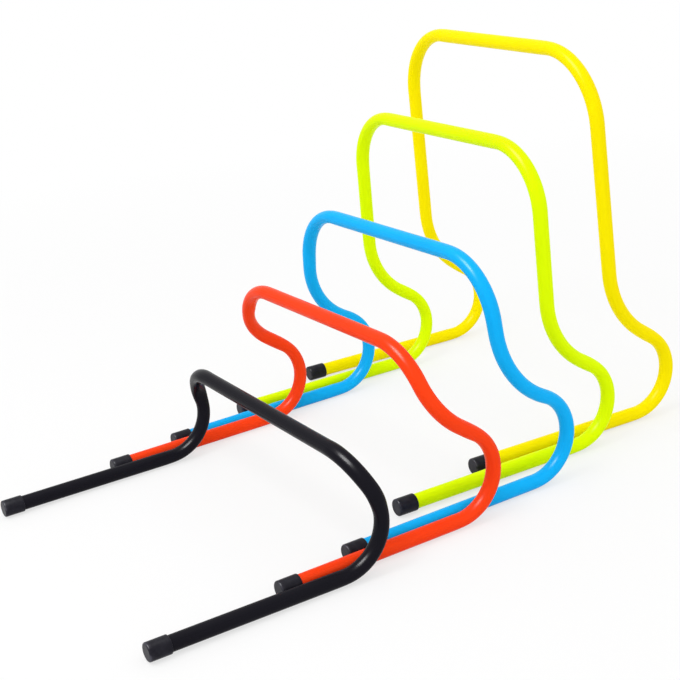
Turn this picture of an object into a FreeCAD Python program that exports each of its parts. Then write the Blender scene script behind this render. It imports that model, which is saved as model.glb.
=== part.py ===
import FreeCAD, Part
import os
from enum import IntEnum, auto

import Sketcher

# A nested row of five graded speed hurdles.
# Each hurdle is one bent plastic tube with a push-on cap over each foot end.
# Frame: millimetres, +Z up, feet pointing to -Y, origin on the floor in the middle of the row.
# Each hurdle is drawn about its own heel axis, the line through the centres of its two heel bends,
# and is then set down on the floor at its place in the row.

# Sizes that all five hurdles share, in millimetres.
SHARED_SIZES = {
    "tube_diameter": 20,
    "tube_wall": 2,
    "foot_spacing": 480,
    "heel_radius": 60,
    "cap_length": 28,
    "cap_wall": 1.6,
    "cap_end": 2,
    "cap_clearance": 0.05,
    "cap_rim_radius": 2,
    "cap_mouth_chamfer": 0.6,
}

# The bends above a link take at most this share of the rise, so that some straight tube is left.
BEND_ROOM_SHARE = 0.98

# Sizes of one hurdle each, in millimetres and degrees, from the front of the row to the rear.
# height: floor to the top of the bar. foot: straight tube in front of the heel bend.
# heel_angle: how far the heel bend turns. link: straight tube above the heel bend.
# bend_radius: bend between link and upright, which turns the tube up and inward at once.
# upright_angle: direction of the plane of the uprights above the floor, with 90 as plumb and
# more as leaning forward. splay_angle: how far the uprights lean inward in that plane.
# corner_radius: bend between upright and top bar.
HURDLE_SIZES = {
    "black": {"height": 151.5, "foot": 255.5, "heel_angle": 101.5, "link": 4, "bend_radius": 41,
              "upright_angle": 110.5, "splay_angle": 36.5, "corner_radius": 77.5},
    "red": {"height": 248.5, "foot": 263, "heel_angle": 144, "link": 31, "bend_radius": 79,
            "upright_angle": 97, "splay_angle": 32.5, "corner_radius": 87},
    "blue": {"height": 327, "foot": 295.5, "heel_angle": 153, "link": 4.5, "bend_radius": 114,
             "upright_angle": 91, "splay_angle": 9, "corner_radius": 88.5},
    "lime": {"height": 443.5, "foot": 294.5, "heel_angle": 146.5, "link": 23, "bend_radius": 113.5,
             "upright_angle": 90.5, "splay_angle": 1.5, "corner_radius": 86.5},
    "yellow": {"height": 545, "foot": 281.5, "heel_angle": 144, "link": 26, "bend_radius": 124.5,
               "upright_angle": 92, "splay_angle": 1.5, "corner_radius": 100.5},
}

# One hurdle stands narrower than the others.
# inset: how much nearer each of its legs is to its middle.
NARROW_SIZES = {
    "lime": {"inset": 11.5},
}

# Place of each hurdle behind the front one, which stands square.
# setback: heel axis behind the front hurdle's. side_gap: room between a cap and the tube next to it
# where this hurdle and the one in front pass nearest. swing_angle: its turn on the floor.
PLACE_SIZES = {
    "red": {"setback": 184.5, "side_gap": 0.45, "swing_angle": 0.9},
    "blue": {"setback": 325.5, "side_gap": 0.3, "swing_angle": 0.8},
    "lime": {"setback": 449, "side_gap": 9.4, "swing_angle": -1.2},
    "yellow": {"setback": 588.5, "side_gap": 10.9, "swing_angle": -2.5},
}

FRONT = "black"
REAR = "yellow"

# Sign of each side's place across the row.
SIDES = {"left": "-", "right": ""}

# A quarter turn, in degrees.
RIGHT_ANGLE = 90


class Point(IntEnum):
    """Numbers of the points of a sketch element."""

    START = auto()
    END = auto()
    CENTRE = auto()


# A sketch numbers its own two axes down from -1, and the first of them starts at the origin.
H_AXIS, V_AXIS = range(-1, -3, -1)
ORIGIN = (H_AXIS, Point.START)


def size(name):
    """Expression for one sheet cell."""
    return f"Sizes.{name}"


def angle(name):
    """Expression for one sheet cell read as an angle."""
    return f"(Sizes.{name} * 1 deg)"


def fill_sheet(doc):
    """Write every driving dimension into a named cell of the sheet."""
    sheet = doc.addObject("Spreadsheet::Sheet", "Sizes")
    rows = list(SHARED_SIZES.items()) + [("bend_room_share", BEND_ROOM_SHARE)]
    for table in (HURDLE_SIZES, NARROW_SIZES, PLACE_SIZES):
        for hurdle, sizes in table.items():
            rows += [(f"{hurdle}_{name}", value) for name, value in sizes.items()]
    for number, (name, value) in enumerate(rows, start=1):
        sheet.set(f"A{number}", name)
        sheet.set(f"B{number}", str(value))
        sheet.setAlias(f"B{number}", name)
    doc.recompute()


# Expressions that more than one piece follows.
TUBE_RADIUS = f"({size('tube_diameter')} / 2)"
HALF_SPACING = f"({size('foot_spacing')} / 2)"
HEEL_RADIUS = size("heel_radius")
CAP_BORE = f"({TUBE_RADIUS} + {size('cap_clearance')})"
CAP_RADIUS = f"({CAP_BORE} + {size('cap_wall')})"
CAP_FACE = f"({size('cap_end')} + {size('cap_clearance')})"


def half_spacing(hurdle):
    """From the hurdle's middle out to the centre line of a foot."""
    if hurdle in NARROW_SIZES:
        return f"({HALF_SPACING} - {size(hurdle + '_inset')})"
    return HALF_SPACING


def heel_turn(hurdle):
    """How far the heel bend turns, which is also the direction of the link above the floor."""
    return angle(f"{hurdle}_heel_angle")


def lean(hurdle):
    """How far the plane of the uprights leans forward from plumb."""
    return f"({angle(hurdle + '_upright_angle')} - {RIGHT_ANGLE} deg)"


def splay(hurdle):
    """How far the uprights lean inward in their plane."""
    return angle(f"{hurdle}_splay_angle")


def link_end(hurdle):
    """Where the link ends, behind and above the heel axis."""
    turn = heel_turn(hurdle)
    link = size(f"{hurdle}_link")
    back = f"({HEEL_RADIUS} * sin({turn}) + {link} * cos({turn}))"
    rise = f"({link} * sin({turn}) - {HEEL_RADIUS} * cos({turn}))"
    return back, rise


def turn_back(hurdle):
    """How far the plane of the uprights is turned back from the link."""
    return f"({heel_turn(hurdle)} - {angle(hurdle + '_upright_angle')})"


def bend_turn(hurdle):
    """How far the bend above the link turns, in its own slanting plane."""
    return f"acos(cos({splay(hurdle)}) * cos({turn_back(hurdle)}))"


def bend_side(hurdle):
    """Where the bend's centre lies, seen along the link: 0 is straight inward, 90 straight back."""
    return f"atan2(cos({splay(hurdle)}) * sin({turn_back(hurdle)}); sin({splay(hurdle)}))"


def bend_radii(hurdle):
    """Radii of the bend and the corner, both reduced alike where the hurdle is too low for them."""
    bend = size(f"{hurdle}_bend_radius")
    corner = size(f"{hurdle}_corner_radius")
    level = link_end(hurdle)[1]
    room = f"({size(hurdle + '_height')} - {size('tube_diameter')} - {HEEL_RADIUS} - {level})"
    bend_rise = f"(sin({heel_turn(hurdle)}) + cos({splay(hurdle)}) * cos({lean(hurdle)}))"
    corner_rise = f"((1 - sin({splay(hurdle)})) * cos({lean(hurdle)}))"
    taken = f"({bend} * tan({bend_turn(hurdle)} / 2) * {bend_rise} + {corner} * {corner_rise})"
    fit = f"min(1; {size('bend_room_share')} * {room} / {taken})"
    return f"({bend} * {fit})", f"({corner} * {fit})"


def bend_reach(hurdle):
    """From either end of the bend to the point where link and upright would meet."""
    return f"({bend_radii(hurdle)[0]} * tan({bend_turn(hurdle)} / 2))"


def meeting_point(hurdle):
    """Where link and upright would meet without the bend, behind and above the heel axis."""
    back, rise = link_end(hurdle)
    turn = heel_turn(hurdle)
    reach = bend_reach(hurdle)
    return f"({back} + {reach} * cos({turn}))", f"({rise} + {reach} * sin({turn}))"


def arch_rise(hurdle):
    """From the meeting point up to the centre line of the bar, along the plane of the uprights."""
    rise = meeting_point(hurdle)[1]
    level = f"{size(hurdle + '_height')} - {size('tube_diameter')} - {HEEL_RADIUS} - {rise}"
    return f"(({level}) / cos({lean(hurdle)}))"


def about_x(turn):
    """Rotation about the x axis."""
    return f"rotation(vector(1; 0; 0); {turn})"


def about_y(turn):
    """Rotation about the y axis."""
    return f"rotation(vector(0; 1; 0); {turn})"


def tilt(hurdle):
    """Small angle that lifts the foot until cap and heel both touch the floor."""
    reach = (f"({size(hurdle + '_foot')} + {CAP_FACE}"
             f" - {size('cap_length')} + {size('cap_mouth_chamfer')})")
    cap_drop = f"({HEEL_RADIUS} + {CAP_RADIUS})"
    heel_drop = f"({HEEL_RADIUS} + {TUBE_RADIUS})"
    return f"(acos({heel_drop} / hypot({cap_drop}; {reach})) - atan2({reach}; {cap_drop}))"


def swing(hurdle):
    """How far a hurdle is turned on the floor."""
    return "0 deg" if hurdle == FRONT else angle(f"{hurdle}_swing_angle")


def setback(hurdle):
    """How far a hurdle's heel axis lies behind the front hurdle's."""
    return "0" if hurdle == FRONT else size(f"{hurdle}_setback")


def step_aside(hurdle, ahead):
    """How far a hurdle stands to the left of the one ahead, so that cap and tube pass each other.

    A turned hurdle comes nearest either beside the heel of the one ahead or at its own foot's end.
    """
    back = f"({setback(hurdle)} - {setback(ahead)})"
    reach = f"({size(hurdle + '_foot')} + {CAP_FACE})"
    at_heel = f"{back} * tan({swing(hurdle)})"
    at_cap = f"{back} * tan({swing(ahead)}) + {reach} * sin({swing(hurdle)} - {swing(ahead)})"
    narrower = f"abs({half_spacing(hurdle)} - {half_spacing(ahead)})"
    return (f"{CAP_RADIUS} + {size(hurdle + '_side_gap')} + {TUBE_RADIUS}"
            f" + {narrower} + max({at_heel}; {at_cap})")


def shift(hurdle):
    """How far a hurdle's heel axis lies to the left of the front hurdle's."""
    row = list(HURDLE_SIZES)
    passed = row[:row.index(hurdle) + 1]
    steps = [step_aside(name, ahead) for ahead, name in zip(passed, passed[1:])]
    return f"({' + '.join(steps)})" if steps else "0"


def row_centre():
    """Middle of the row's outline on the floor, from the front hurdle's heel axis."""
    turn = swing(REAR)
    outer = f"({HALF_SPACING} + {CAP_RADIUS})"
    left = f"(-{shift(REAR)} - {outer} * cos({turn}) + {size(REAR + '_foot')} * sin({turn}))"
    rear = (f"({setback(REAR)} - {HALF_SPACING} * sin({turn})"
            f" + {HEEL_RADIUS} * cos({turn}) + {TUBE_RADIUS})")
    front = f"(-{size(FRONT + '_foot')} - {CAP_FACE})"
    return f"(({outer} + {left}) / 2)", f"(({front} + {rear}) / 2)"


def set_down(body, hurdle):
    """Stand a piece of one hurdle on the floor at the hurdle's place in the row."""
    middle_x, middle_y = row_centre()
    across = f"-{shift(hurdle)} - {middle_x}"
    along = f"{setback(hurdle)} - {middle_y}"
    spot = f"vector({across}; {along}; {HEEL_RADIUS} + {TUBE_RADIUS})"
    turn = f"rotation({swing(hurdle)}; 0 deg; -{tilt(hurdle)})"
    body.setExpression("Placement", f"placement({spot}; {turn})")


def new_body(doc, label):
    """Add an empty body named after its piece."""
    body = doc.addObject("PartDesign::Body", label)
    body.Label = label
    return body


def new_sketch(body, name, plane, offset, turn=about_x("0 deg")):
    """Add a sketch on one of the body's own planes, moved by offset and turned."""
    sketch = body.newObject("Sketcher::SketchObject", f"{body.Label}_{name}")
    support = next(item for item in body.Origin.OriginFeatures if item.Role == plane)
    sketch.AttachmentSupport = [(support, "")]
    sketch.MapMode = "FlatFace"
    spot = "; ".join(offset)
    sketch.setExpression("AttachmentOffset", f"placement(vector({spot}); {turn})")
    return sketch


def bind(sketch, expression, *constraint):
    """Add a dimension to a sketch and drive it from the sheet."""
    index = sketch.addConstraint(Sketcher.Constraint(*constraint))
    sketch.setExpression(f"Constraints[{index}]", expression)


def value_of(sketch, expression):
    """Current value of an expression, to draw an element near its final place."""
    value = sketch.evalExpression(expression)
    return getattr(value, "Value", value)


def angle_value(degrees):
    """An angle in degrees turned into the radians that a new sketch dimension takes."""
    return FreeCAD.Units.Quantity(f"{degrees} deg").getValueAs("rad").Value


def ring(body, name, plane, offset, turn=about_x("0 deg")):
    """Cross-section of the tube: two circles about the sketch's origin."""
    sketch = new_sketch(body, name, plane, offset, turn)
    inner = f"{size('tube_diameter')} - 2 * {size('tube_wall')}"
    for diameter in (size("tube_diameter"), inner):
        circle = Part.Circle(FreeCAD.Vector(), FreeCAD.Vector(0, 0, 1), value_of(sketch, diameter) / 2)
        index = sketch.addGeometry(circle)
        sketch.addConstraint(Sketcher.Constraint("Coincident", index, Point.CENTRE, *ORIGIN))
        bind(sketch, diameter, "Diameter", index, value_of(sketch, diameter))
    return sketch


class Pen:
    """Draws a run of lines and arcs, each tangent to the last, and keeps their ends."""

    def __init__(self, sketch, point, heading):
        self.sketch = sketch
        self.point = FreeCAD.Vector(*point)
        self.heading = heading
        self.last = None

    def direction(self, turned=0):
        """Unit vector at an angle from the present heading."""
        turn = FreeCAD.Rotation(FreeCAD.Vector(0, 0, 1), self.heading + turned)
        return turn.multVec(FreeCAD.Vector(1, 0, 0))

    def join(self, index, first, last):
        """Make the new element tangent to the one before it."""
        if self.last:
            self.sketch.addConstraint(Sketcher.Constraint("Tangent", *self.last, index, first))
        self.last = (index, last)
        return index

    def line(self, length):
        """Draw straight on."""
        end = self.point + self.direction() * length
        index = self.sketch.addGeometry(Part.LineSegment(self.point, end))
        self.point = end
        return self.join(index, Point.START, Point.END)

    def arc(self, radius, turn):
        """Draw an arc, to the left for a positive turn and to the right for a negative one."""
        side = RIGHT_ANGLE if turn > 0 else -RIGHT_ANGLE
        centre = self.point + self.direction(side) * radius
        middle = centre - self.direction(side + turn / 2) * radius
        end = centre - self.direction(side + turn) * radius
        first, last = (self.point, end) if turn > 0 else (end, self.point)
        index = self.sketch.addGeometry(Part.Arc(first, middle, last))
        self.point = end
        self.heading += turn
        ends = (Point.START, Point.END) if turn > 0 else (Point.END, Point.START)
        return self.join(index, *ends)


def leg_path(body, hurdle):
    """Centre line of the left leg: foot, heel bend and link."""
    sketch = new_sketch(body, "leg_path", "YZ_Plane", ("0", "0", f"-{half_spacing(hurdle)}"))
    foot_length = value_of(sketch, size(f"{hurdle}_foot"))
    radius = value_of(sketch, HEEL_RADIUS)
    turn = value_of(sketch, size(f"{hurdle}_heel_angle"))
    link_length = value_of(sketch, size(f"{hurdle}_link"))
    pen = Pen(sketch, (-foot_length, -radius), 0)
    foot = pen.line(foot_length)
    heel = pen.arc(radius, turn)
    link = pen.line(link_length)
    sketch.addConstraint(Sketcher.Constraint("Horizontal", foot))
    sketch.addConstraint(Sketcher.Constraint("Coincident", heel, Point.CENTRE, *ORIGIN))
    bind(sketch, size(f"{hurdle}_foot"), "Distance", foot, foot_length)
    bind(sketch, HEEL_RADIUS, "Radius", heel, radius)
    bind(sketch, heel_turn(hurdle), "Angle", heel, angle_value(turn))
    bind(sketch, size(f"{hurdle}_link"), "Distance", link, link_length)
    return sketch


def bend_section(body, hurdle):
    """Cross-section at the end of the left link, with the axis that the bend turns about."""
    spot = (f"-{half_spacing(hurdle)}", *link_end(hurdle))
    square = about_x(f"{heel_turn(hurdle)} - {RIGHT_ANGLE} deg")
    sketch = ring(body, "bend_ring", "XY_Plane", spot, square)
    radius = value_of(sketch, bend_radii(hurdle)[0])
    side = value_of(sketch, bend_side(hurdle))
    pen = Pen(sketch, (0, 0), side)
    centre = pen.direction() * radius
    axis_end = centre + pen.direction(RIGHT_ANGLE) * radius
    axis = sketch.addGeometry(Part.LineSegment(centre, axis_end), True)
    spoke = sketch.addGeometry(Part.LineSegment(FreeCAD.Vector(), centre), True)
    sketch.addConstraint(Sketcher.Constraint("Coincident", spoke, Point.START, *ORIGIN))
    sketch.addConstraint(Sketcher.Constraint("Coincident", spoke, Point.END, axis, Point.START))
    sketch.addConstraint(Sketcher.Constraint("Perpendicular", spoke, axis))
    sketch.addConstraint(Sketcher.Constraint("Equal", spoke, axis))
    bind(sketch, bend_radii(hurdle)[0], "Distance", spoke, radius)
    bind(sketch, bend_side(hurdle), "Angle", spoke, angle_value(side))
    return sketch


def arch_path(body, hurdle):
    """Centre line of both uprights, both corners and the bar, in the plane of the uprights."""
    back, rise = meeting_point(hurdle)
    sketch = new_sketch(body, "arch_path", "XZ_Plane", ("0", rise, f"-{back}"), about_x(lean(hurdle)))
    corner_radius = bend_radii(hurdle)[1]
    aside = f"{half_spacing(hurdle)} - {bend_reach(hurdle)} * sin({splay(hurdle)})"
    above = f"{bend_reach(hurdle)} * cos({splay(hurdle)})"
    height = value_of(sketch, arch_rise(hurdle))
    foot_x = value_of(sketch, aside)
    foot_y = value_of(sketch, above)
    radius = value_of(sketch, corner_radius)
    inward = value_of(sketch, size(f"{hurdle}_splay_angle"))
    pen = Pen(sketch, (-foot_x, foot_y), RIGHT_ANGLE - inward)
    way = pen.direction()
    upright = (height - foot_y - radius * (1 - way.x)) / way.y
    left_upright = pen.line(upright)
    left_corner = pen.arc(radius, inward - RIGHT_ANGLE)
    bar = pen.line(2 * (foot_x - upright * way.x - radius * way.y))
    right_corner = pen.arc(radius, inward - RIGHT_ANGLE)
    right_upright = pen.line(upright)
    left_end, right_end = (left_upright, Point.START), (right_upright, Point.END)
    sketch.addConstraint(Sketcher.Constraint("Symmetric", bar, Point.START, bar, Point.END, V_AXIS))
    sketch.addConstraint(Sketcher.Constraint("Equal", left_corner, right_corner))
    sketch.addConstraint(Sketcher.Constraint("Symmetric", *left_end, *right_end, V_AXIS))
    bind(sketch, aside, "DistanceX", *left_end, *ORIGIN, foot_x)
    bind(sketch, above, "DistanceY", *ORIGIN, *left_end, foot_y)
    bind(sketch, f"{RIGHT_ANGLE} deg - {splay(hurdle)}", "Angle",
         left_upright, angle_value(RIGHT_ANGLE - inward))
    bind(sketch, corner_radius, "Radius", left_corner, radius)
    bind(sketch, arch_rise(hurdle), "DistanceY", *ORIGIN, bar, Point.START, height)
    return sketch


def sweep(body, name, profile, path):
    """Carry the tube's cross-section along a centre line."""
    pipe = body.newObject("PartDesign::AdditivePipe", f"{body.Label}_{name}")
    pipe.Profile = profile
    pipe.Spine = (path, [f"Edge{number + 1}" for number in range(path.GeometryCount)])
    return pipe


def turn_about(body, name, sketch, axis):
    """Turn a sketch about one of its own lines."""
    turned = body.newObject("PartDesign::Revolution", f"{body.Label}_{name}")
    turned.Profile = sketch
    turned.ReferenceAxis = (sketch, [axis])
    return turned


def arch_section(body, hurdle):
    """Cross-section at the lower end of the left upright."""
    back, rise = meeting_point(hurdle)
    reach = bend_reach(hurdle)
    along = f"{reach} * cos({splay(hurdle)})"
    spot = (f"-{half_spacing(hurdle)} + {reach} * sin({splay(hurdle)})",
            f"{back} - {along} * sin({lean(hurdle)})",
            f"{rise} + {along} * cos({lean(hurdle)})")
    square = f"{about_x(lean(hurdle))} * {about_y(splay(hurdle))}"
    return ring(body, "arch_ring", "XY_Plane", spot, square)


def tube(doc, hurdle):
    """One hurdle's tube: left leg, left bend, arch, and the leg and bend mirrored to the right."""
    body = new_body(doc, f"{hurdle}_tube")
    foot_end = (f"-{half_spacing(hurdle)}", f"-{HEEL_RADIUS}", size(f"{hurdle}_foot"))
    leg = sweep(body, "leg", ring(body, "leg_ring", "XZ_Plane", foot_end), leg_path(body, hurdle))
    doc.recompute()
    bend = turn_about(body, "bend", bend_section(body, hurdle), "Axis0")
    bend.setExpression("Angle", bend_turn(hurdle))
    doc.recompute()
    sweep(body, "arch", arch_section(body, hurdle), arch_path(body, hurdle))
    doc.recompute()
    mirrored = body.newObject("PartDesign::Mirrored", f"{body.Label}_right_leg")
    mirrored.Originals = [leg, bend]
    side_plane = next(item for item in body.Origin.OriginFeatures if item.Role == "YZ_Plane")
    mirrored.MirrorPlane = (side_plane, [""])
    body.Tip = mirrored
    set_down(body, hurdle)
    return body


def cap(doc, hurdle, side):
    """One push-on cap: a closed sleeve turned about the foot, with a rounded rim."""
    body = new_body(doc, f"{hurdle}_{side}_cap")
    aside = f"{SIDES[side]}{half_spacing(hurdle)}"
    foot_end = (f"-{size(hurdle + '_foot')}", f"-{HEEL_RADIUS}", aside)
    sketch = new_sketch(body, "profile", "YZ_Plane", foot_end)
    face = value_of(sketch, CAP_FACE)
    seat = value_of(sketch, size("cap_clearance"))
    length = value_of(sketch, size("cap_length"))
    bore = value_of(sketch, CAP_BORE)
    outside = value_of(sketch, CAP_RADIUS)
    rim = value_of(sketch, size("cap_rim_radius"))
    chamfer = value_of(sketch, size("cap_mouth_chamfer"))
    mouth = length - face
    pen = Pen(sketch, (-face, 0), RIGHT_ANGLE)
    disc = pen.line(outside - rim)
    rounded = pen.arc(rim, -RIGHT_ANGLE)
    sleeve = pen.line(length - rim - chamfer)
    corners = [(mouth - chamfer, outside), (mouth, outside - chamfer), (mouth, bore), (-seat, bore),
               (-seat, 0), (-face, 0)]
    points = [FreeCAD.Vector(*corner) for corner in corners]
    edges = [sketch.addGeometry(Part.LineSegment(*pair)) for pair in zip(points, points[1:])]
    slope, lip, inside, seat_face, axis = edges
    for first, second in zip([sleeve] + edges, edges + [disc]):
        sketch.addConstraint(Sketcher.Constraint("Coincident", first, Point.END, second, Point.START))
    for edge in (disc, lip, seat_face):
        sketch.addConstraint(Sketcher.Constraint("Vertical", edge))
    for edge in (inside, axis):
        sketch.addConstraint(Sketcher.Constraint("Horizontal", edge))
    sketch.addConstraint(Sketcher.Constraint("Horizontal", sleeve))
    sketch.addConstraint(Sketcher.Constraint("PointOnObject", axis, Point.END, H_AXIS))
    bind(sketch, CAP_FACE, "DistanceX", disc, Point.START, *ORIGIN, face)
    bind(sketch, size("cap_clearance"), "DistanceX", seat_face, Point.END, *ORIGIN, seat)
    bind(sketch, size("cap_length"), "DistanceX", disc, Point.START, lip, Point.START, length)
    bind(sketch, CAP_BORE, "DistanceY", *ORIGIN, inside, Point.START, bore)
    bind(sketch, CAP_RADIUS, "DistanceY", *ORIGIN, sleeve, Point.START, outside)
    bind(sketch, size("cap_rim_radius"), "Radius", rounded, rim)
    bind(sketch, size("cap_mouth_chamfer"), "DistanceX", slope, Point.START, slope, Point.END, chamfer)
    bind(sketch, size("cap_mouth_chamfer"), "DistanceY", slope, Point.END, slope, Point.START, chamfer)
    turn_about(body, "turned", sketch, "H_Axis")
    set_down(body, hurdle)
    return body


def check(doc, bodies):
    """Stop if any object failed or any piece is not one sound solid."""
    for item in doc.Objects:
        if "Invalid" in item.State or "Error" in item.State:
            raise RuntimeError(f"{item.Label} failed: {item.State}")
    for body in bodies:
        shape = body.Shape
        if shape.isNull() or not shape.isValid() or len(shape.Solids) != 1:
            raise RuntimeError(f"{body.Label} is not one sound solid")


def main():
    """Build every piece, check it and write its file."""
    doc = FreeCAD.newDocument("speed_hurdles")
    fill_sheet(doc)
    bodies = []
    for hurdle in HURDLE_SIZES:
        bodies.append(tube(doc, hurdle))
        bodies += [cap(doc, hurdle, side) for side in SIDES]
    doc.recompute()
    check(doc, bodies)
    os.makedirs("parts", exist_ok=True)
    for body in bodies:
        body.Shape.exportStep(os.path.join("parts", f"{body.Label}.step"))
        box = body.Shape.BoundBox
        print(f"{body.Label}: volume {body.Shape.Volume:.0f}, z {box.ZMin:.2f} to {box.ZMax:.2f}")


main()
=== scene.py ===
"""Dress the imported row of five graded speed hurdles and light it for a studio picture.

Places are in metres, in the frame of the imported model: +Z up, feet pointing to -Y. The classes for
a hurdle and its caps hold the sizes of a bending drawing, in millimetres and degrees.
"""
import logging
from dataclasses import dataclass
from enum import Enum
from typing import Any, Mapping

import bpy
import numpy as np
from mathutils import Matrix, Vector


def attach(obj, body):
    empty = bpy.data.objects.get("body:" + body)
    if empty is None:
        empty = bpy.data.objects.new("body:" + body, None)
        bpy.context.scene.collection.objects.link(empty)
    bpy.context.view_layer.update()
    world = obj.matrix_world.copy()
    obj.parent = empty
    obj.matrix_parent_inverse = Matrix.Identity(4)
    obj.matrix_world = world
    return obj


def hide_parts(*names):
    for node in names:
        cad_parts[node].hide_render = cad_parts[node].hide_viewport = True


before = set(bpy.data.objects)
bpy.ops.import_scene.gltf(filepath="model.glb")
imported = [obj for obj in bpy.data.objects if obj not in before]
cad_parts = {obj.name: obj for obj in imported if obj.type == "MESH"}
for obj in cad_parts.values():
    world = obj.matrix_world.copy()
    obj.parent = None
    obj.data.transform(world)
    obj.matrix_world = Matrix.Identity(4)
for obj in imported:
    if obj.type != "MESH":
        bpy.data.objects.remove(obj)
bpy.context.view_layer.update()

Array = np.ndarray
Span = tuple[float, float]
Triple = tuple[float, float, float]
Colour = tuple[float, float, float, float]
Socket = bpy.types.NodeSocket

log = logging.getLogger("hurdles")

MM = 0.001
PICTURE_PIXELS = 680
SENSOR_WIDTH_MM = 36.0
SHARP_ANGLE = float(np.radians(50.0))
PLASTIC_INDEX = 1.5
WHITE: Colour = (1.0, 1.0, 1.0, 1.0)
FULL_WHITE = 1.0


class Side(Enum):
    """The two feet of a hurdle, seen from behind it."""

    LEFT = "left"
    RIGHT = "right"


class Sum(Enum):
    """Ways to work out one level from others."""

    TIMES = "MULTIPLY"
    TIMES_PLUS = "MULTIPLY_ADD"
    LARGER = "MAXIMUM"


class Output(Enum):
    """The node that shows what a recipe makes."""

    MATERIAL = "ShaderNodeOutputMaterial"
    SKY = "ShaderNodeOutputWorld"


def linear(red: int, green: int, blue: int) -> Colour:
    """Turn a display colour of 0 to 255 into the linear one that a shader takes.

    The curve is a straight line near black and a power of 2.4 above it.

    Args:
        red: Red level.
        green: Green level.
        blue: Blue level.

    Returns:
        The three linear levels, 0 to 1, and full cover.
    """
    level = np.array([red, green, blue]) / 255.0
    low = level / 12.92
    high = ((level + 0.055) / 1.055) ** 2.4
    return (*np.where(level <= 0.04045, low, high).tolist(), 1.0)


@dataclass(frozen=True)
class Pattern:
    """A cloud pattern in a surface.

    scale: How many clouds fit in a metre.
    detail: How many finer layers it has.
    levels: Its lowest and highest level that matter.
    stretch: Scale along each of three axes, where the clouds are drawn out.
    """

    scale: float
    detail: float
    levels: Span = (0.3, 0.7)
    stretch: Triple | None = None


class Recipe:
    """The nodes of a material, or of the sky, while they are put together."""

    def __init__(self, owner: bpy.types.Material | bpy.types.World) -> None:
        """Start with no nodes.

        Args:
            owner: The new material or sky.
        """
        owner.use_nodes = True
        self.nodes = owner.node_tree.nodes
        self.links = owner.node_tree.links
        self.nodes.clear()

    def add(self, kind: str, inputs: Mapping[Any, Any] | None = None,
            **settings: Any) -> bpy.types.Node:
        """Add a node, set its options and fill or join its inputs.

        Args:
            kind: Blender's name for the node.
            inputs: Values for its inputs, or the outputs that feed them.
            settings: The node's own options.

        Returns:
            The new node.
        """
        node = self.nodes.new(kind)
        for key, value in settings.items():
            setattr(node, key, value)
        for key, value in (inputs or {}).items():
            if isinstance(value, Socket):
                self.links.new(value, node.inputs[key])
            else:
                node.inputs[key].default_value = value
        return node

    def place(self) -> Socket:
        """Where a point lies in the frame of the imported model."""
        return self.add("ShaderNodeTexCoord").outputs["Object"]

    def attribute(self, name: str, output: str) -> Socket:
        """Read what a piece stores for each of its points."""
        return self.add("ShaderNodeAttribute", attribute_name=name).outputs[output]

    def clouds(self, vector: Socket, pattern: Pattern) -> Socket:
        """Add a cloud pattern.

        Args:
            vector: Where the pattern is read.
            pattern: Its sizes.

        Returns:
            The pattern's level, about 0 to 1.
        """
        if pattern.stretch:
            inputs = {"Vector": vector, "Scale": pattern.stretch}
            vector = self.add("ShaderNodeMapping", inputs).outputs["Vector"]
        inputs = {"Vector": vector, "Scale": pattern.scale, "Detail": pattern.detail}
        return self.add("ShaderNodeTexNoise", inputs).outputs["Fac"]

    def spread(self, value: Socket, given: Span, wanted: Span) -> Socket:
        """Map one range of levels onto another and stop at its ends.

        Args:
            value: The level that is read.
            given: Its lowest and highest level that matter.
            wanted: What those two become.

        Returns:
            The mapped level.
        """
        inputs = {"Value": value, "From Min": given[0], "From Max": given[1],
                  "To Min": wanted[0], "To Max": wanted[1]}
        return self.add("ShaderNodeMapRange", inputs).outputs["Result"]

    def work_out(self, way: Sum, *levels: Socket | float) -> Socket:
        """Work out one level from others."""
        return self.add("ShaderNodeMath", dict(enumerate(levels)), operation=way.value).outputs[0]

    def blend(self, share: Socket, first: Socket | Colour, second: Socket | Colour) -> Socket:
        """Mix two colours. The mix node numbers its colour sockets 6, 7 and, going out, 2.

        Args:
            share: How much of the second colour shows.
            first: A colour or the output that gives it.
            second: Likewise.

        Returns:
            The mixed colour.
        """
        inputs = {0: share, 6: first, 7: second}
        return self.add("ShaderNodeMix", inputs, data_type="RGBA").outputs[2]

    def relief(self, height: Socket, strength: float, depth: float) -> Socket:
        """Roughen the surface's normal by a height.

        Args:
            height: The height's level.
            strength: How strongly it shows.
            depth: Depth of a whole level, in metres.

        Returns:
            The normal.
        """
        inputs = {"Height": height, "Strength": strength, "Distance": depth}
        return self.add("ShaderNodeBump", inputs).outputs["Normal"]

    def plastic(self, colour: Socket, roughness: Socket, normal: Socket,
                shine: float) -> bpy.types.Node:
        """Add the surface of a plastic.

        Args:
            colour: Its colour.
            roughness: Its roughness.
            normal: Its roughened normal.
            shine: Strength of its reflection.

        Returns:
            The surface's node.
        """
        return self.add("ShaderNodeBsdfPrincipled", {
            "Base Color": colour, "Roughness": roughness, "Normal": normal,
            "IOR": PLASTIC_INDEX, "Specular IOR Level": shine})

    def seen_directly(self) -> Socket:
        """One for rays from the camera and for the mirrored and clear ones, else zero.

        Returns:
            The test's result.
        """
        rays = self.add("ShaderNodeLightPath").outputs
        first = self.work_out(Sum.LARGER, rays["Is Camera Ray"], rays["Is Glossy Ray"])
        return self.work_out(Sum.LARGER, first, rays["Is Transmission Ray"])

    def finish(self, surface: bpy.types.Node, output: Output = Output.MATERIAL) -> None:
        """Join the surface to the node that shows it."""
        self.add(output.value, {"Surface": surface.outputs[0]})


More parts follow.
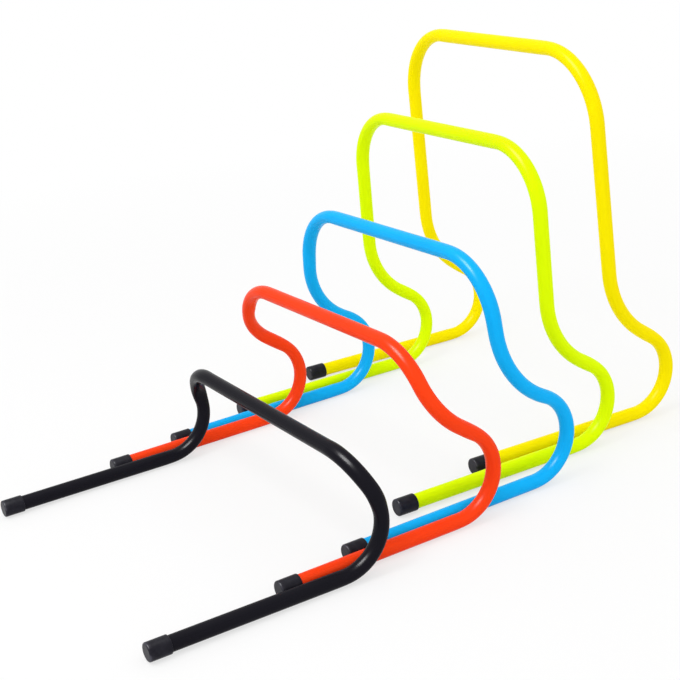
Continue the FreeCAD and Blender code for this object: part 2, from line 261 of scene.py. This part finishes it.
@dataclass(frozen=True)
class TubeFinish:
    """Glossy coloured plastic tube, with drawn streaks along it and light scuffs where it rubs.

    colour: The plastic's colour.
    deep: The same plastic where the streaks are denser.
    scuffed: The plastic where it has rubbed along the floor.
    gloss: Lowest and highest roughness.
    shine: Strength of the surface reflection.
    streaks: Fine lines along the tube from its drawing.
    clouds: Wide changes of the colour.
    ripple: Fine unevenness of the surface.
    scratches: Marks along the foot.
    streak_share, cloud_share: Most that each adds to the deep colour; the two are multiplied.
    deep_share: The deep colour's least share.
    scuff_share: Most that a scratch takes of the scuffed colour.
    scuff_dulling: Roughness that a full scuff adds.
    streak_relief: Height of the streaks, as a share of the ripple's.
    relief_strength, relief_depth: How strongly streaks and ripple show, and how deep they are.
    rub_height: How high above the floor the foot rubs.
    """

    name: str
    colour: Colour
    deep: Colour
    scuffed: Colour
    gloss: Span = (0.22, 0.3)
    shine: float = 0.05
    streaks: Pattern = Pattern(260.0, 3.0, stretch=(1.0, 1.0, 0.012))
    clouds: Pattern = Pattern(9.0, 2.0, levels=(0.35, 0.65))
    ripple: Pattern = Pattern(420.0, 2.0)
    scratches: Pattern = Pattern(160.0, 6.0, levels=(0.52, 0.66), stretch=(1.0, 0.2, 1.0))
    streak_share: float = 0.7
    cloud_share: float = 0.5
    deep_share: float = 0.1
    scuff_share: float = 0.6
    scuff_dulling: float = 0.4
    streak_relief: float = 0.6
    relief_strength: float = 0.06
    relief_depth: float = 0.2 * MM
    rub_height: float = 0.006

    def make(self) -> bpy.types.Material:
        """Put the finish together.

        Returns:
            The material.
        """
        material = bpy.data.materials.new(self.name)
        recipe = Recipe(material)
        place = recipe.place()
        streaks = recipe.clouds(recipe.attribute("lay", "Vector"), self.streaks)
        clouds = recipe.clouds(place, self.clouds)
        ripple = recipe.clouds(place, self.ripple)
        scratches = recipe.clouds(place, self.scratches)
        height = recipe.add("ShaderNodeSeparateXYZ", {"Vector": place}).outputs["Z"]
        rubbed = recipe.spread(height, (self.rub_height, 0.0), (0.0, 1.0))
        scratched = recipe.spread(scratches, self.scratches.levels, (0.0, self.scuff_share))
        scuff = recipe.work_out(Sum.TIMES, rubbed, scratched)
        drawn = recipe.spread(streaks, self.streaks.levels, (0.0, self.streak_share))
        clouded = recipe.spread(clouds, self.clouds.levels, (0.0, self.cloud_share))
        depth = recipe.work_out(Sum.TIMES_PLUS, drawn, clouded, self.deep_share)
        plastic = recipe.blend(depth, self.colour, self.deep)
        worn = recipe.blend(scuff, plastic, self.scuffed)
        sheen = recipe.spread(streaks, self.streaks.levels, self.gloss)
        dulled = recipe.work_out(Sum.TIMES_PLUS, scuff, self.scuff_dulling, sheen)
        uneven = recipe.work_out(Sum.TIMES_PLUS, streaks, self.streak_relief, ripple)
        normal = recipe.relief(uneven, self.relief_strength, self.relief_depth)
        recipe.finish(recipe.plastic(worn, dulled, normal, self.shine))
        return material


@dataclass(frozen=True)
class CapFinish:
    """Satin black soft plastic with a fine moulded grain, and grey on its edges and end face that is
    partly dust and partly a painted highlight.

    colour: The plastic's colour.
    dust and sheen colour: The plastic greyed by dust and rubbing, and lightened by a painted
    highlight on the rim and end face.
    gloss: Lowest and highest roughness.
    shine: Strength of the surface reflection.
    grain: The moulded grain.
    clouds: Changes of the gloss.
    patches: Levels of the same clouds between which the dust and the painted highlight thicken.
    patch_share: The share of dust and painted highlight at those two levels.
    grain_strength, grain_depth: How strongly the grain shows, and how deep it is.
    """

    name: str
    colour: Colour
    dust_and_sheen_colour: Colour
    gloss: Span = (0.28, 0.42)
    shine: float = 0.09
    grain: Pattern = Pattern(1900.0, 3.0)
    clouds: Pattern = Pattern(120.0, 4.0)
    patches: Span = (0.4, 0.65)
    patch_share: Span = (0.15, 1.0)
    grain_strength: float = 0.12
    grain_depth: float = 0.1 * MM

    def make(self) -> bpy.types.Material:
        """Put the finish together.

        Returns:
            The material.
        """
        material = bpy.data.materials.new(self.name)
        recipe = Recipe(material)
        place = recipe.place()
        grain = recipe.clouds(place, self.grain)
        clouds = recipe.clouds(place, self.clouds)
        patchy = recipe.spread(clouds, self.patches, self.patch_share)
        # Grey on the edges and end face: real dust and a painted highlight.
        dust_and_sheen = recipe.work_out(Sum.TIMES, recipe.attribute("edge", "Fac"), patchy)
        plastic = recipe.blend(dust_and_sheen, self.colour, self.dust_and_sheen_colour)
        dull = recipe.spread(clouds, self.clouds.levels, self.gloss)
        normal = recipe.relief(grain, self.grain_strength, self.grain_depth)
        recipe.finish(recipe.plastic(plastic, dull, normal, self.shine))
        return material


@dataclass(frozen=True)
class FloorFinish:
    """Plain white studio floor that the eye sees a little brighter than it lights the part.

    colour: The floor's own colour.
    lift: Share of plain white that the camera and the reflections see in it, near the part and
        far from it.
    reach: Distances from the middle at which the near share ends and the far share starts.
    """

    name: str = "studio_white"
    colour: Colour = (0.82, 0.82, 0.82, 1.0)
    lift: Span = (0.66, 1.0)
    reach: Span = (0.75, 2.2)

    def make(self) -> bpy.types.Material:
        """Put the finish together.

        Returns:
            The material.
        """
        material = bpy.data.materials.new(self.name)
        recipe = Recipe(material)
        inputs = {0: recipe.place()}
        far = recipe.add("ShaderNodeVectorMath", inputs, operation="LENGTH").outputs["Value"]
        lift = recipe.spread(far, self.reach, self.lift)
        share = recipe.work_out(Sum.TIMES, recipe.seen_directly(), lift)
        matt = recipe.add("ShaderNodeBsdfDiffuse", {"Color": self.colour})
        glow = recipe.add("ShaderNodeEmission", {"Color": WHITE, "Strength": FULL_WHITE})
        inputs = {0: share, 1: matt.outputs[0], 2: glow.outputs[0]}
        recipe.finish(recipe.add("ShaderNodeMixShader", inputs))
        return material


def new_piece(name: str, points: Array, faces: list[Array],
              material: bpy.types.Material) -> bpy.types.Object:
    """Make a smooth-shaded object from arrays of points and faces.

    Args:
        name: Name of the piece.
        points: Its points, one row each.
        faces: Arrays of point numbers, one row for each face, one array for each face size.
        material: Its finish.

    Returns:
        The new object, at the origin.
    """
    mesh = bpy.data.meshes.new(name)
    sizes = np.concatenate([np.full(len(block), block.shape[1]) for block in faces])
    corners = np.concatenate([block.ravel() for block in faces])
    mesh.vertices.add(len(points))
    mesh.vertices.foreach_set("co", points.astype(np.float32).ravel())
    mesh.loops.add(len(corners))
    mesh.loops.foreach_set("vertex_index", corners.astype(np.int32))
    mesh.polygons.add(len(sizes))
    mesh.polygons.foreach_set("loop_start", (np.cumsum(sizes) - sizes).astype(np.int32))
    mesh.polygons.foreach_set("use_smooth", np.ones(len(sizes), dtype=bool))
    mesh.update(calc_edges=True)
    mesh.validate()
    mesh.set_sharp_from_angle(angle=SHARP_ANGLE)
    mesh.materials.append(material)
    piece = bpy.data.objects.new(name, mesh)
    bpy.context.scene.collection.objects.link(piece)
    return piece


def add_attribute(piece: bpy.types.Object, name: str, values: Array) -> None:
    """Store a number or a vector for each point of a piece.

    Args:
        piece: The piece.
        name: Name under which its finish reads the values.
        values: One value or one row of three for each point.
    """
    vector = values.ndim == 2
    store = piece.data.attributes.new(name, "FLOAT_VECTOR" if vector else "FLOAT", "POINT")
    store.data.foreach_set("vector" if vector else "value", values.astype(np.float32).ravel())


def circle(count: int) -> Array:
    """Even steps round a unit circle, as rows of cosine and sine."""
    angle = np.arange(count) * (2.0 * np.pi / count)
    return np.stack([np.cos(angle), np.sin(angle)], axis=-1)


def ring_faces(rows: int, columns: int, closed: bool) -> Array:
    """Four-cornered faces of a grid whose rows are closed rings.

    Args:
        rows: How many rings there are.
        columns: How many points a ring has.
        closed: Whether the last ring joins the first.

    Returns:
        One row of four point numbers for each face, facing outward for rings that turn from the
        first section axis to the second.
    """
    number = np.arange(rows * columns).reshape(rows, columns)
    if closed:
        number = np.concatenate([number, number[:1]])
    turned = np.roll(number, -1, axis=1)
    corners = (number[:-1], turned[:-1], turned[1:], number[1:])
    return np.stack(corners, axis=-1).reshape(-1, 4)


def fan_faces(tip: int, ring: Array) -> Array:
    """Three-cornered faces from a middle point out to a ring.

    Args:
        tip: Number of the middle point.
        ring: Numbers of the ring's points, anticlockwise for the side that the faces look to.

    Returns:
        One row of three point numbers for each face.
    """
    return np.stack([np.full(len(ring), tip), ring, np.roll(ring, -1)], axis=-1)


@dataclass(frozen=True)
class Stretch:
    """One straight or one bend of a tube's centre line.

    length: Length along the line.
    turn: How far it turns, in radians, with zero for a straight.
    way: Unit vector from the start of a bend towards its centre.
    """

    length: float
    turn: float = 0.0
    way: tuple[float, ...] = (0.0, 0.0, 0.0)


@dataclass(frozen=True)
class Route:
    """Straights and bends in space, each tangent to the one before it.

    start: First point.
    axes: Heading and the two section axes at the first point, one row each.
    stretches: The straights and bends in their order.
    """

    start: Array
    axes: Array
    stretches: tuple[Stretch, ...]

    @property
    def lengths(self) -> Array:
        """Length of each stretch."""
        return np.array([stretch.length for stretch in self.stretches])

    @property
    def turns(self) -> Array:
        """Turn of each stretch."""
        return np.array([stretch.turn for stretch in self.stretches])

    @property
    def ways(self) -> Array:
        """Direction of each bend's centre, one row each."""
        return np.array([stretch.way for stretch in self.stretches])

    def starts(self) -> tuple[Array, Array]:
        """First point and axes of every stretch.

        Returns:
            Points as rows of three, and axes as blocks of three rows.
        """
        spots, frames = [self.start], [self.axes]
        for stretch in self.stretches[:-1]:
            way, turn = np.array(stretch.way), np.array(stretch.turn)
            step = self.chord(frames[-1][0], way, np.array(stretch.length), turn)
            spots.append(spots[-1] + step)
            frames.append(self.turned(frames[-1], frames[-1][0], way, turn))
        return np.array(spots), np.array(frames)

    def at(self, along: Array) -> tuple[Array, Array]:
        """Places and axes at distances along the route.

        A place is the first point of its stretch plus the chord of the part that lies before it,
        and its axes are those of the stretch, turned by that part's share of the bend.

        Args:
            along: Distances from the start of the route.

        Returns:
            Points as rows of three, and axes as blocks of three rows.
        """
        spots, frames = self.starts()
        ends = np.cumsum(self.lengths)
        number = np.minimum(np.searchsorted(ends, along), len(ends) - 1)
        part = along - (ends - self.lengths)[number]
        turn = self.turns[number] * part / self.lengths[number]
        heading, way = frames[number, 0], self.ways[number]
        places = spots[number] + self.chord(heading, way, part, turn)
        return places, self.turned(frames[number], heading[:, None], way[:, None], turn[:, None])

    @staticmethod
    def chord(heading: Array, way: Array, length: Array, turn: Array) -> Array:
        """Step along a stretch, as rows of three.

        A stretch of length t that turns by h ends one chord away, of length t sin(h/2) / (h/2),
        in the mean direction of the stretch. A straight is the case h = 0.

        Args:
            heading: Directions where the stretches start.
            way: Directions of their centres.
            length: Lengths.
            turn: Turns.

        Returns:
            The steps.
        """
        reach = (length * np.sinc(turn / (2.0 * np.pi)))[..., None]
        half = (turn / 2.0)[..., None]
        return reach * (np.cos(half) * heading + np.sin(half) * way)

    @staticmethod
    def turned(rows: Array, heading: Array, way: Array, turn: Array) -> Array:
        """Turn vectors with a bend, from its heading towards its centre.

        The share of a vector that lies along the heading h and the way w turns in their plane:
        h becomes h cos a + w sin a, w becomes w cos a - h sin a, and the rest stays.

        Args:
            rows: The vectors.
            heading: Direction where the bend starts.
            way: Direction of its centre.
            turn: How far it turns.

        Returns:
            The turned vectors.
        """
        on_heading = (rows * heading).sum(axis=-1, keepdims=True)
        on_way = (rows * way).sum(axis=-1, keepdims=True)
        cosine, sine = np.cos(turn)[..., None], np.sin(turn)[..., None]
        along = (cosine - 1.0) * on_heading - sine * on_way
        aside = (cosine - 1.0) * on_way + sine * on_heading
        return rows + along * heading + aside * way


@dataclass(frozen=True)
class Line:
    """A tube's centre line with the axes of its section at each place.

    place: Points of the line, one row each.
    axes: The two section axes at each point, as blocks of two rows. The first lies across the row
        on the feet.
    along: Distance of each point from the line's start, in millimetres.
    """

    place: Array
    axes: Array
    along: Array


@dataclass(frozen=True)
class Cap:
    """A closed sleeve that is pushed over the end of a foot. Sizes are in millimetres.

    length: From the end face to the mouth.
    radius, bore: Outer and inner radius.
    end: Thickness of the closed end.
    seat: Gap between the closed end and the tube.
    rim, lip: Radius of the rounded edge round the end face, and round the mouth.
    around: Points in a ring.
    face_rings, rim_rings, sleeve_rings, lip_rings: Rings on each part of the outside.
    face, rim, sleeve and lip levels: Most grey that each of these parts gets, from dust and from a
    painted highlight.
    """

    length: float = 28.0
    radius: float = 11.65
    bore: float = 10.05
    end: float = 2.0
    seat: float = 0.05
    rim: float = 2.0
    lip: float = 0.6
    around: int = 48
    face_rings: int = 6
    rim_rings: int = 13
    sleeve_rings: int = 8
    lip_rings: int = 7
    face_dust_and_sheen: float = 0.35
    rim_dust_and_sheen: float = 1.0
    sleeve_dust_and_sheen: float = 0.1
    lip_dust_and_sheen: float = 0.7

    def profile(self) -> tuple[Array, Array]:
        """Half section, from the middle of the end face round to the middle of the seat.

        End face, sleeve and bore are straight, and rim and lip are quarter circles. Their grey,
        part dust and part painted highlight, rises as the sine of twice the angle, so it is thickest
        half-way round.

        Returns:
            Rows of distance behind the end face and radius, and the grey of dust and painted
            highlight at each of them.
        """
        rim_turn = np.linspace(0.0, np.pi / 2.0, self.rim_rings)
        rim = self.rim * np.stack([1.0 - np.cos(rim_turn), np.sin(rim_turn) - 1.0], axis=-1)
        rim += [0.0, self.radius]
        lip_turn = np.linspace(0.0, np.pi / 2.0, self.lip_rings)
        lip = self.lip * np.stack([np.sin(lip_turn) - 1.0, np.cos(lip_turn) - 1.0], axis=-1)
        lip += [self.length, self.radius]
        face = np.linspace((0.0, 0.0), rim[0], self.face_rings, endpoint=False)
        sleeve = np.linspace(rim[-1], lip[0], self.sleeve_rings + 2)[1:-1]
        bore = np.array([[self.length, self.bore], [self.end, self.bore], [self.end, 0.0]])
        # Grey for each ring: dust, and a painted highlight that is strongest half-way round rim and
        # lip.
        dust_and_sheen = np.concatenate([
            np.full(len(face), self.face_dust_and_sheen),
            self.face_dust_and_sheen + (self.rim_dust_and_sheen - self.face_dust_and_sheen) * np.sin(2.0 * rim_turn),
            np.full(len(sleeve), self.sleeve_dust_and_sheen),
            self.sleeve_dust_and_sheen + (self.lip_dust_and_sheen - self.sleeve_dust_and_sheen) * np.sin(2.0 * lip_turn),
            np.zeros(len(bore))])
        return np.concatenate([face, rim, sleeve, lip, bore]), dust_and_sheen

    def make(self, name: str, spot: Array, axes: Array,
             material: bpy.types.Material) -> bpy.types.Object:
        """Turn the half section about the end of a foot.

        A place of the half section at distance d and radius r goes d inward from the middle of the
        end face and r out along the spoke, which is cos(a) times the first axis plus sin(a) times
        the second.

        Args:
            name: Name of the piece.
            spot: Middle of the tube's end.
            axes: The tube's two section axes, one row each, whose cross product points inward.
            material: The finish.

        Returns:
            The cap, one closed surface.
        """
        inward = np.cross(*axes)
        middle = spot - inward * (self.end + self.seat) * MM
        profile, dust_and_sheen = self.profile()
        spokes = circle(self.around) @ axes
        rows = profile[1:-1] * MM
        rings = middle + rows[:, :1, None] * inward + rows[:, 1:, None] * spokes
        poles = middle + profile[[0, -1], :1] * MM * inward
        number = np.arange(len(rows) * self.around).reshape(len(rows), self.around)
        front = fan_faces(number.size, number[0, ::-1])
        back = fan_faces(number.size + 1, number[-1])
        faces = [ring_faces(len(rows), self.around, False), np.concatenate([front, back])]
        piece = new_piece(name, np.concatenate([rings.reshape(-1, 3), poles]), faces, material)
        # Each point's grey, dust plus painted highlight, for the finish to read.
        levels = np.concatenate([np.repeat(dust_and_sheen[1:-1], self.around), dust_and_sheen[[0, -1]]])
        add_attribute(piece, "edge", levels)
        return piece


@dataclass(frozen=True)
class Hurdle:
    """One hurdle: a bent tube with a cap pushed over each foot.

    Lengths are in millimetres and angles in degrees, as on the bending drawing.

    height: Top of the bar above the floor.
    foot: Straight foot in front of the heel.
    heel_angle: Turn of the heel bend.
    link: Straight between the heel bend and the slanting bend.
    bend_radius: Radius of the slanting bend.
    upright_angle: Slope of the uprights' plane; over 90 it leans to the front.
    splay_angle: Slope of the uprights inward in that plane.
    corner_radius: Radius of the corners beside the bar.
    setback, shift, swing: Where it stands behind and beside the front hurdle, and its turn there.
    tube_radius, tube_wall: Outer radius and wall of the tube.
    half_spacing: From the middle to the centre line of a foot.
    heel_radius: Radius of the heel bend.
    cap: The cap on each foot.
    flattening: Most that a bend flattens the section, as a share of the radius.
    squeeze: Share of the flattening that the section loses towards and away from a bend's centre.
    outer_squeeze: Share that the outside of a bend loses on top of that.
    bulge: Share that the section gains across a bend.
    fade: Length over which the flattening comes and goes.
    spacing: Distance between the tube's rings.
    around: Points in a ring.
    row_middle: Middle of the whole row, from the middle of the front hurdle's heel axis.
    """

    name: str
    finish: TubeFinish
    height: float
    foot: float
    heel_angle: float
    link: float
    bend_radius: float
    upright_angle: float
    splay_angle: float
    corner_radius: float
    setback: float = 0.0
    shift: float = 0.0
    swing: float = 0.0
    tube_radius: float = 10.0
    tube_wall: float = 2.0
    half_spacing: float = 240.0
    heel_radius: float = 60.0
    cap: Cap = Cap()
    flattening: float = 0.10
    squeeze: float = 0.75
    outer_squeeze: float = 0.45
    bulge: float = 0.85
    fade: float = 8.0
    spacing: float = 2.6
    around: int = 40
    row_middle: Span = (-70.0719, 205.6808)

    @property
    def body(self) -> str:
        """Name of the body that carries the hurdle's pieces."""
        return f"{self.name}_hurdle"

    def route(self) -> Route:
        """Centre line from the left foot's end to the middle of the bar.

        Foot, heel bend and link lie in the upright plane along the foot. Upright, corner and bar
        lie in the leaning plane of the uprights. One bend in a slanting plane joins link and
        upright: its centre lies along the upright's direction less the share along the link.

        Returns:
            The line about the middle of the heel axis.
        """
        heel, lean, splay = np.radians([self.heel_angle, self.upright_angle, self.splay_angle])
        side, back, up = np.eye(3)
        link_way = np.cos(heel) * back + np.sin(heel) * up
        plane_up = np.cos(lean) * back + np.sin(lean) * up
        upright_way = np.cos(splay) * plane_up + np.sin(splay) * side
        turn = np.arccos(link_way @ upright_way)
        bend_way = (upright_way - np.cos(turn) * link_way) / np.sin(turn)
        corner_way = np.cos(splay) * side - np.sin(splay) * plane_up
        reach = self.bend_radius * np.tan(turn / 2.0)
        level = (self.heel_radius * (1.0 - np.cos(heel)) + self.tube_radius
                 + (self.link + reach) * np.sin(heel))
        rise = (self.height - self.tube_radius - level) / np.sin(lean)
        upright = (rise - self.corner_radius * (1.0 - np.sin(splay))) / np.cos(splay) - reach
        inward = (reach + upright) * np.sin(splay) + self.corner_radius * np.cos(splay)
        corner = np.pi / 2.0 - splay
        start = -self.half_spacing * side - self.foot * back - self.heel_radius * up
        return Route(start, np.array([back, side, -up]), (
            Stretch(self.foot),
            Stretch(self.heel_radius * heel, heel, tuple(up)),
            Stretch(self.link),
            Stretch(self.bend_radius * turn, turn, tuple(bend_way)),
            Stretch(upright),
            Stretch(self.corner_radius * corner, corner, tuple(corner_way)),
            Stretch(self.half_spacing - inward)))

    def tilt(self) -> float:
        """Angle that lifts the foot until cap and heel both touch the floor.

        The lower edge of the cap's mouth turns about the heel axis until it is as far below that
        axis as the heel is.

        Returns:
            The angle in radians.
        """
        cap = self.cap
        reach = self.foot + cap.end + cap.seat - cap.length + cap.lip
        drop = self.heel_radius + cap.radius
        lowest = np.arccos((self.heel_radius + self.tube_radius) / np.hypot(drop, reach))
        return float(lowest - np.arctan2(reach, drop))

    def turned(self, rows: Array) -> Array:
        """Turn rows from the hurdle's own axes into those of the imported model.

        Args:
            rows: Directions or points.

        Returns:
            The turned rows.
        """
        lift = Matrix.Rotation(-self.tilt(), 3, "X")
        swing = Matrix.Rotation(np.radians(self.swing), 3, "Z")
        return rows @ np.array(swing @ lift).T

    def placed(self, points: Array) -> Array:
        """Set points down where the hurdle stands.

        Args:
            points: Points from the middle of the heel axis, in millimetres.

        Returns:
            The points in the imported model's frame, in metres.
        """
        spot = np.array([-self.shift - self.row_middle[0], self.setback - self.row_middle[1],
                         self.heel_radius + self.tube_radius])
        return (self.turned(points) + spot) * MM

    def line(self) -> Line:
        """The whole centre line: the left half and its mirror image.

        The right half is the left one, read backwards, with its sign across the row changed.

        Returns:
            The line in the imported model's frame.
        """
        route = self.route()
        half = route.lengths.sum()
        along = np.linspace(0.0, half, int(np.ceil(half / self.spacing)) + 1)
        place, axes = route.at(along)
        flip = np.array([-1.0, 1.0, 1.0])
        place = np.concatenate([place, place[-2::-1] * flip])
        axes = np.concatenate([axes, axes[-2::-1] * flip])[:, 1:]
        whole = np.concatenate([along, 2.0 * half - along[-2::-1]])
        return Line(self.placed(place), self.turned(axes), whole)

    def section(self, along: Array) -> Array:
        """Shape of the tube's section along the line, as shares of the radius.

        The section is a circle that the bends flatten. Towards and away from a bend's centre it
        loses its flattening, more on the outside, and across the bend it gains nearly as much.
        Each bend fades in and out as half the difference of two tanh steps.

        Args:
            along: Distances from the end of the left foot.

        Returns:
            Shares along both section axes, as one ring of rows of two for each distance.
        """
        route = self.route()
        ends = np.cumsum(route.lengths)
        from_end = np.minimum(along, 2.0 * ends[-1] - along)[:, None]
        begin = (from_end - (ends - route.lengths)) / self.fade
        finish = (from_end - ends) / self.fade
        sharpness = np.minimum(self.heel_radius * route.turns / route.lengths, 1.0)
        amount = 0.5 * self.flattening * sharpness * (np.tanh(begin) - np.tanh(finish))
        frames = route.starts()[1]
        inward = (frames[:, 1:] * route.ways[:, None]).sum(axis=2)
        sideways = inward[:, ::-1] * [-1.0, 1.0]
        ring = circle(self.around)
        towards, across = ring @ inward.T, ring @ sideways.T
        loss = towards * (self.squeeze + self.outer_squeeze * np.minimum(towards, 0.0) ** 2)
        change = self.bulge * across[..., None] * sideways - loss[..., None] * inward
        return ring + np.einsum("sb,abx->sax", amount, change)

    def bend_tube(self) -> bpy.types.Object:
        """Sweep the tube's section along its centre line, for the outer and the inner wall.

        A point lies on the centre line's place plus the wall's radius times the section's two
        shares, each along its own section axis.

        Returns:
            The tube, both walls in one closed surface.
        """
        line = self.line()
        spokes = self.section(line.along) @ line.axes * MM
        middle = line.place[:, None]
        inner = middle + (self.tube_radius - self.tube_wall) * spokes
        rings = np.concatenate([middle + self.tube_radius * spokes, inner[::-1]])
        faces = ring_faces(len(rings), self.around, True)
        points = rings.reshape(-1, 3)
        piece = new_piece(f"{self.name}_bent_tube", points, [faces], self.finish.make())
        lay = np.empty_like(rings)
        lay[..., :2] = self.tube_radius * circle(self.around)
        lay[..., 2] = np.concatenate([line.along, line.along[::-1]])[:, None]
        add_attribute(piece, "lay", lay.reshape(-1, 3) * MM)
        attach(piece, self.body)
        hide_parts(f"{self.name}_tube")
        log.info("%s: %d faces", piece.name, len(piece.data.polygons))
        return piece

    def push_on_cap(self, side: Side, material: bpy.types.Material) -> bpy.types.Object:
        """Set a cap on the end of a foot.

        Args:
            side: Which foot it sits on.
            material: The finish that all caps share.

        Returns:
            The cap.
        """
        line = self.line()
        end, sign = (0, 1.0) if side is Side.LEFT else (-1, -1.0)
        axes = line.axes[end] * [[1.0], [sign]]
        name = f"{self.name}_{side.value}_foot_cap"
        piece = self.cap.make(name, line.place[end], axes, material)
        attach(piece, self.body)
        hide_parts(f"{self.name}_{side.value}_cap")
        log.info("%s: %d faces", piece.name, len(piece.data.polygons))
        return piece


@dataclass(frozen=True)
class Viewpoint:
    """The camera: the photograph's angle, found by fitting the hurdles' centre lines to it.

    azimuth, elevation, roll: Where it looks from, in degrees.
    distance: From the camera to its target, in metres.
    target: The point on the floor in the middle of the picture.
    focal_pixels: Focal length in pixels of the square picture.
    sight: How far it sees, in metres.
    """

    azimuth: float = 60.38
    elevation: float = 19.274
    roll: float = -5.958
    distance: float = 2.5425
    target: Triple = (-0.44308, 0.25099, 0.0)
    focal_pixels: float = 1436.53
    sight: float = 100.0

    def make(self) -> bpy.types.Object:
        """Set the camera up and make it the scene's own.

        Returns:
            The camera.
        """
        across, up, roll = np.radians([self.azimuth, self.elevation, self.roll])
        back = Vector((np.sin(across) * np.cos(up), -np.cos(across) * np.cos(up), np.sin(up)))
        right = Vector((np.cos(across), np.sin(across), 0.0))
        above = back.cross(right)
        level = Matrix((right, above, back)).transposed()
        turned = level @ Matrix.Rotation(roll, 3, "Z")
        lens = bpy.data.cameras.new("viewpoint")
        lens.sensor_width = SENSOR_WIDTH_MM
        lens.lens = self.focal_pixels / PICTURE_PIXELS * SENSOR_WIDTH_MM
        lens.clip_end = self.sight
        camera = bpy.data.objects.new("viewpoint", lens)
        spot = Vector(self.target) + back * self.distance
        camera.matrix_world = Matrix.Translation(spot) @ turned.to_4x4()
        bpy.context.scene.collection.objects.link(camera)
        bpy.context.scene.camera = camera
        return camera


@dataclass(frozen=True)
class Softbox:
    """A flat soft lamp.

    place: Where it hangs.
    aim: The point it faces.
    width: Length of its side.
    power: Its power in watts.
    lights: Whether it lights the matt surfaces, or only shows as a highlight in the glossy ones.
    """

    name: str
    place: Triple
    aim: Triple
    width: float
    power: float
    lights: bool = True

    def make(self) -> bpy.types.Object:
        """Hang the lamp.

        Returns:
            The lamp.
        """
        lamp = bpy.data.lights.new(self.name, "AREA")
        lamp.size = self.width
        lamp.energy = self.power
        holder = bpy.data.objects.new(self.name, lamp)
        holder.location = self.place
        holder.visible_diffuse = self.lights
        facing = Vector(self.aim) - Vector(self.place)
        holder.rotation_euler = facing.to_track_quat("-Z", "Y").to_euler()
        bpy.context.scene.collection.objects.link(holder)
        return holder


@dataclass(frozen=True)
class Studio:
    """White room: a wide floor, an even white sky and soft lamps.

    floor: The floor's finish.
    floor_half: From the middle of the floor to its edge.
    floor_gap: How far it lies below the tubes.
    ambient: Strength of the sky as a light.
    lamps: The lamps.
    """

    floor: FloorFinish = FloorFinish()
    floor_half: float = 40.0
    floor_gap: float = 0.0002
    ambient: float = 1.02
    lamps: tuple[Softbox, ...] = (
        Softbox("key_softbox", place=(0.2, -1.25, 2.75), aim=(0.0, 0.0, 0.2), width=0.9,
                power=20.0),
        Softbox("gloss_softbox", place=(0.1, -1.15, 2.8), aim=(0.0, 0.0, 0.2), width=1.3,
                power=380.0, lights=False),
    )

    def make(self) -> None:
        """Lay the floor, light the room and set the plain view transform."""
        self.lay_floor()
        self.light_sky()
        for lamp in self.lamps:
            lamp.make()
        bpy.context.scene.view_settings.view_transform = "Standard"

    def lay_floor(self) -> bpy.types.Object:
        """Lay one wide square, a little below the tubes.

        Returns:
            The floor.
        """
        corners = self.floor_half * np.array([[-1.0, -1.0], [1.0, -1.0], [1.0, 1.0], [-1.0, 1.0]])
        points = np.column_stack([corners, np.full(len(corners), -self.floor_gap)])
        floor = new_piece("studio_floor", points, [np.array([[0, 1, 2, 3]])], self.floor.make())
        return floor

    def light_sky(self) -> bpy.types.World:
        """Make an even sky: plain white to the eye, with its own strength as a light.

        Returns:
            The sky.
        """
        world = bpy.data.worlds.new("studio_sky")
        bpy.context.scene.world = world
        recipe = Recipe(world)
        strength = recipe.spread(recipe.seen_directly(), (0.0, 1.0), (self.ambient, FULL_WHITE))
        sky = recipe.add("ShaderNodeBackground", {"Color": WHITE, "Strength": strength})
        recipe.finish(sky, Output.SKY)
        return world


BLACK = TubeFinish("black_tube_plastic", colour=linear(22, 21, 28), deep=linear(14, 13, 20),
                   scuffed=linear(64, 64, 68))
RED = TubeFinish("red_tube_plastic", colour=linear(249, 67, 20), deep=linear(234, 50, 10),
                 scuffed=linear(252, 120, 80))
BLUE = TubeFinish("blue_tube_plastic", colour=linear(16, 178, 247), deep=linear(8, 158, 230),
                  scuffed=linear(90, 196, 246))
LIME = TubeFinish("lime_tube_plastic", colour=linear(225, 254, 3), deep=linear(208, 240, 0),
                  scuffed=linear(232, 250, 90), shine=0.025)
YELLOW = TubeFinish("yellow_tube_plastic", colour=linear(251, 233, 2), deep=linear(240, 214, 0),
                    scuffed=linear(252, 236, 90), shine=0.02)
# The caps' grey edges and end faces are dust and a painted highlight.
CAPS = CapFinish("cap_soft_plastic", colour=linear(24, 23, 31), dust_and_sheen_colour=linear(72, 71, 80))

HURDLES = (
    Hurdle("black", BLACK, height=151.5, foot=255.5, heel_angle=101.5, link=4.0, bend_radius=41.0,
           upright_angle=110.5, splay_angle=36.5, corner_radius=77.5),
    Hurdle("red", RED, height=248.5, foot=263.0, heel_angle=144.0, link=31.0, bend_radius=79.0,
           upright_angle=97.0, splay_angle=32.5, corner_radius=87.0,
           setback=184.5, shift=26.263, swing=0.9),
    Hurdle("blue", BLUE, height=327.0, foot=295.5, heel_angle=153.0, link=4.5, bend_radius=114.0,
           upright_angle=91.0, splay_angle=9.0, corner_radius=88.5,
           setback=325.5, shift=50.182, swing=0.8),
    Hurdle("lime", LIME, height=443.5, foot=294.5, heel_angle=146.5, link=23.0, bend_radius=113.5,
           upright_angle=90.5, splay_angle=1.5, corner_radius=86.5,
           setback=449.0, shift=90.145, swing=-1.2, half_spacing=228.5),
    Hurdle("yellow", YELLOW, height=545.0, foot=281.5, heel_angle=144.0, link=26.0,
           bend_radius=124.5, upright_angle=92.0, splay_angle=1.5, corner_radius=100.5,
           setback=588.5, shift=128.104, swing=-2.5),
)


def main() -> None:
    """Build every hurdle, then the studio and the camera."""
    logging.basicConfig(level=logging.INFO, format="%(name)s %(message)s")
    caps = CAPS.make()
    for hurdle in HURDLES:
        hurdle.bend_tube()
        for side in Side:
            hurdle.push_on_cap(side, caps)
    Studio().make()
    Viewpoint().make()


if __name__ == "__main__":
    main()
